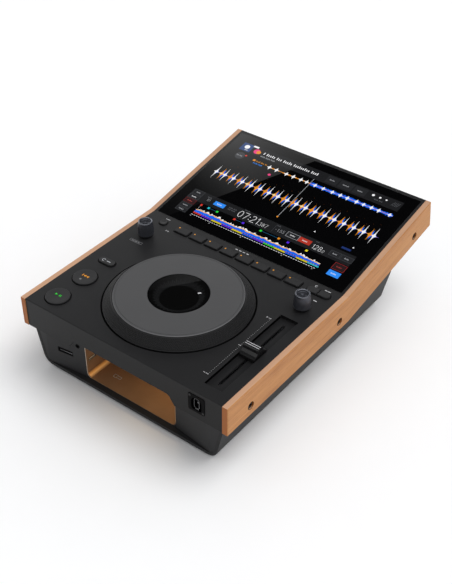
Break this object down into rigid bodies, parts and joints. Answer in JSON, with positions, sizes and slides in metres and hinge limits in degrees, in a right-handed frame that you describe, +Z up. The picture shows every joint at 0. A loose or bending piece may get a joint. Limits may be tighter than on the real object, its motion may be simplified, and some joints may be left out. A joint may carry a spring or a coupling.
{
  "type": "tabletop dj media player",
  "caption": "Tabletop DJ media player: level deck with jog wheel, pads, knobs and tempo fader, tilted touch screen, wooden side cheeks and an open front cave for memory sticks.",
  "frame": {"origin": "on the table below the middle of the body, at the centre of the bounding box's bottom face", "axes": "+X to the right seen from the user's side, +Y from the front edge to the back, +Z up"},
  "size_m": [0.33, 0.463, 0.1407],
  "materials": {
    "lower_housing": "matt dark charcoal, fine texture",
    "front_metal": "matt charcoal paint",
    "cave_metal": "bronze satin paint",
    "light_guide": "amber clear plastic",
    "deck_metal": "matt charcoal paint, fine texture",
    "bezel": "satin dark plastic",
    "black_glass": "black glossy cover, lit by the display behind it",
    "lcd": "display panel",
    "cheek_wood": "oiled pale cherry, straight grain",
    "black_screw": "black oxide",
    "rear_metal": "matt dark paint",
    "jack_metal": "plated",
    "socket_metal": "plated sheet",
    "black_plastic": "moulded, fine grain",
    "button_plastic": "satin dark grey",
    "foot_rubber": "matt",
    "plain_screw": "zinc plated",
    "board": "green lacquer",
    "supply": "board with wound parts",
    "switch_plastic": "moulded",
    "slot_plastic": "moulded, dark",
    "cap_plastic": "satin black with a white line",
    "lever_metal": "plated sheet",
    "trough_plastic": "matt dark",
    "knob_metal": "dark anodised, pale turned rim",
    "shaft_plastic": "black",
    "pot_metal": "plated",
    "jog_side": "dark grey with fine grip texture",
    "jog_plate": "satin mid grey",
    "hub_plastic": "glass-filled black",
    "bush": "sintered",
    "display_housing": "black",
    "clear_lens": "clear cover over the dished display",
    "small_button": "satin dark grey",
    "pad_rubber": "matt dark grey silicone"
  },
  "bodies": {
    "root": {"bottom_shell": "lower_housing", "front_plate": "front_metal", "media_cave": "cave_metal", "cave_light_guide": "light_guide", "top_deck": "deck_metal", "screen_bezel": "bezel", "screen_glass": "black_glass", "lcd_panel": "lcd", "cheek_left": "cheek_wood", "cheek_right": "cheek_wood", "cheek_screws": "black_screw", "rear_panel": "rear_metal", "rca_jacks": "jack_metal", "lan_socket": "socket_metal", "host_socket": "socket_metal", "power_inlet": "black_plastic", "feet": "foot_rubber", "base_screws": "plain_screw", "main_board": "board", "power_supply": "supply", "switch_boards": "board", "tact_switches": "switch_plastic", "front_connector": "black_plastic", "connector_screws": "black_screw", "cave_socket": "socket_metal", "card_slot": "slot_plastic", "mini_jack": "black_plastic", "fader_trough": "trough_plastic", "fader_body": "lever_metal", "level_pot": "pot_metal", "selector_body": "pot_metal", "jog_base": "hub_plastic", "jog_bush": "bush", "jog_display": "display_housing", "jog_lens": "clear_lens"},
    "jog_wheel": {"jog_ring": "jog_side", "jog_top_plate": "jog_plate", "jog_hub": "hub_plastic"},
    "tempo_fader": {"fader_cap": "cap_plastic", "fader_lever": "lever_metal"},
    "level_dial": {"level_knob": "knob_metal", "level_shaft": "shaft_plastic"},
    "selector_stem": {"selector_plunger": "pot_metal"},
    "selector_dial": {"selector_knob": "knob_metal", "selector_shaft": "shaft_plastic"},
    "play": {"play_button": "button_plastic"},
    "cue": {"cue_button": "button_plastic"},
    "pill": {"pill_button": "small_button"},
    "round": {"round_button": "small_button"},
    "split_left": {"pair_left": "small_button"},
    "split_right": {"pair_right": "small_button"},
    "power": {"power_button": "button_plastic"},
    "pad_body_1": {"pad_1": "pad_rubber"},
    "pad_body_2": {"pad_2": "pad_rubber"},
    "pad_body_3": {"pad_3": "pad_rubber"},
    "pad_body_4": {"pad_4": "pad_rubber"},
    "pad_body_5": {"pad_5": "pad_rubber"},
    "pad_body_6": {"pad_6": "pad_rubber"},
    "pad_body_7": {"pad_7": "pad_rubber"},
    "pad_body_8": {"pad_8": "pad_rubber"}
  },
  "joints": [
    {"name": "jog_turn", "type": "hinge", "parent": "root", "child": "jog_wheel", "pos_m": [0, -0.11652, 0.1046], "axis": [0, 0, 1], "continuous": true},
    {"name": "tempo_slide", "type": "slide", "parent": "root", "child": "tempo_fader", "axis": [0, 1, 0], "range_m": [-0.0625, 0.0625]},
    {"name": "level_turn", "type": "hinge", "parent": "root", "child": "level_dial", "pos_m": [-0.127, -0.03362, 0.1046], "axis": [0, 0, 1], "range_deg": [-150, 150]},
    {"name": "selector_push", "type": "slide", "parent": "root", "child": "selector_stem", "axis": [0, 0, -1], "range_m": [0, 0.0006], "stiffness_N_per_m": 800, "springref_m": -0.0015},
    {"name": "selector_turn", "type": "hinge", "parent": "selector_stem", "child": "selector_dial", "pos_m": [0.1297, -0.03362, 0.1046], "axis": [0, 0, 1], "continuous": true},
    {"name": "play_push", "type": "slide", "parent": "root", "child": "play", "axis": [0, 0, -1], "range_m": [0, 0.0012], "stiffness_N_per_m": 300, "springref_m": -0.0015},
    {"name": "cue_push", "type": "slide", "parent": "root", "child": "cue", "axis": [0, 0, -1], "range_m": [0, 0.0012], "stiffness_N_per_m": 300, "springref_m": -0.0015},
    {"name": "pill_push", "type": "slide", "parent": "root", "child": "pill", "axis": [0, 0, -1], "range_m": [0, 0.0012], "stiffness_N_per_m": 300, "springref_m": -0.0015},
    {"name": "round_push", "type": "slide", "parent": "root", "child": "round", "axis": [0, 0, -1], "range_m": [0, 0.0012], "stiffness_N_per_m": 300, "springref_m": -0.0015},
    {"name": "split_left_push", "type": "slide", "parent": "root", "child": "split_left", "axis": [0, 0, -1], "range_m": [0, 0.0012], "stiffness_N_per_m": 300, "springref_m": -0.0015},
    {"name": "split_right_push", "type": "slide", "parent": "root", "child": "split_right", "axis": [0, 0, -1], "range_m": [0, 0.0012], "stiffness_N_per_m": 300, "springref_m": -0.0015},
    {"name": "pad_1_push", "type": "slide", "parent": "root", "child": "pad_body_1", "axis": [0, 0, -1], "range_m": [0, 0.0012], "stiffness_N_per_m": 300, "springref_m": -0.0015},
    {"name": "pad_2_push", "type": "slide", "parent": "root", "child": "pad_body_2", "axis": [0, 0, -1], "range_m": [0, 0.0012], "stiffness_N_per_m": 300, "springref_m": -0.0015},
    {"name": "pad_3_push", "type": "slide", "parent": "root", "child": "pad_body_3", "axis": [0, 0, -1], "range_m": [0, 0.0012], "stiffness_N_per_m": 300, "springref_m": -0.0015},
    {"name": "pad_4_push", "type": "slide", "parent": "root", "child": "pad_body_4", "axis": [0, 0, -1], "range_m": [0, 0.0012], "stiffness_N_per_m": 300, "springref_m": -0.0015},
    {"name": "pad_5_push", "type": "slide", "parent": "root", "child": "pad_body_5", "axis": [0, 0, -1], "range_m": [0, 0.0012], "stiffness_N_per_m": 300, "springref_m": -0.0015},
    {"name": "pad_6_push", "type": "slide", "parent": "root", "child": "pad_body_6", "axis": [0, 0, -1], "range_m": [0, 0.0012], "stiffness_N_per_m": 300, "springref_m": -0.0015},
    {"name": "pad_7_push", "type": "slide", "parent": "root", "child": "pad_body_7", "axis": [0, 0, -1], "range_m": [0, 0.0012], "stiffness_N_per_m": 300, "springref_m": -0.0015},
    {"name": "pad_8_push", "type": "slide", "parent": "root", "child": "pad_body_8", "axis": [0, 0, -1], "range_m": [0, 0.0012], "stiffness_N_per_m": 300, "springref_m": -0.0015},
    {"name": "power_push", "type": "slide", "parent": "root", "child": "power", "axis": [0, -1, 0], "range_m": [0, 0.002], "stiffness_N_per_m": 300, "springref_m": -0.001}
  ]
}
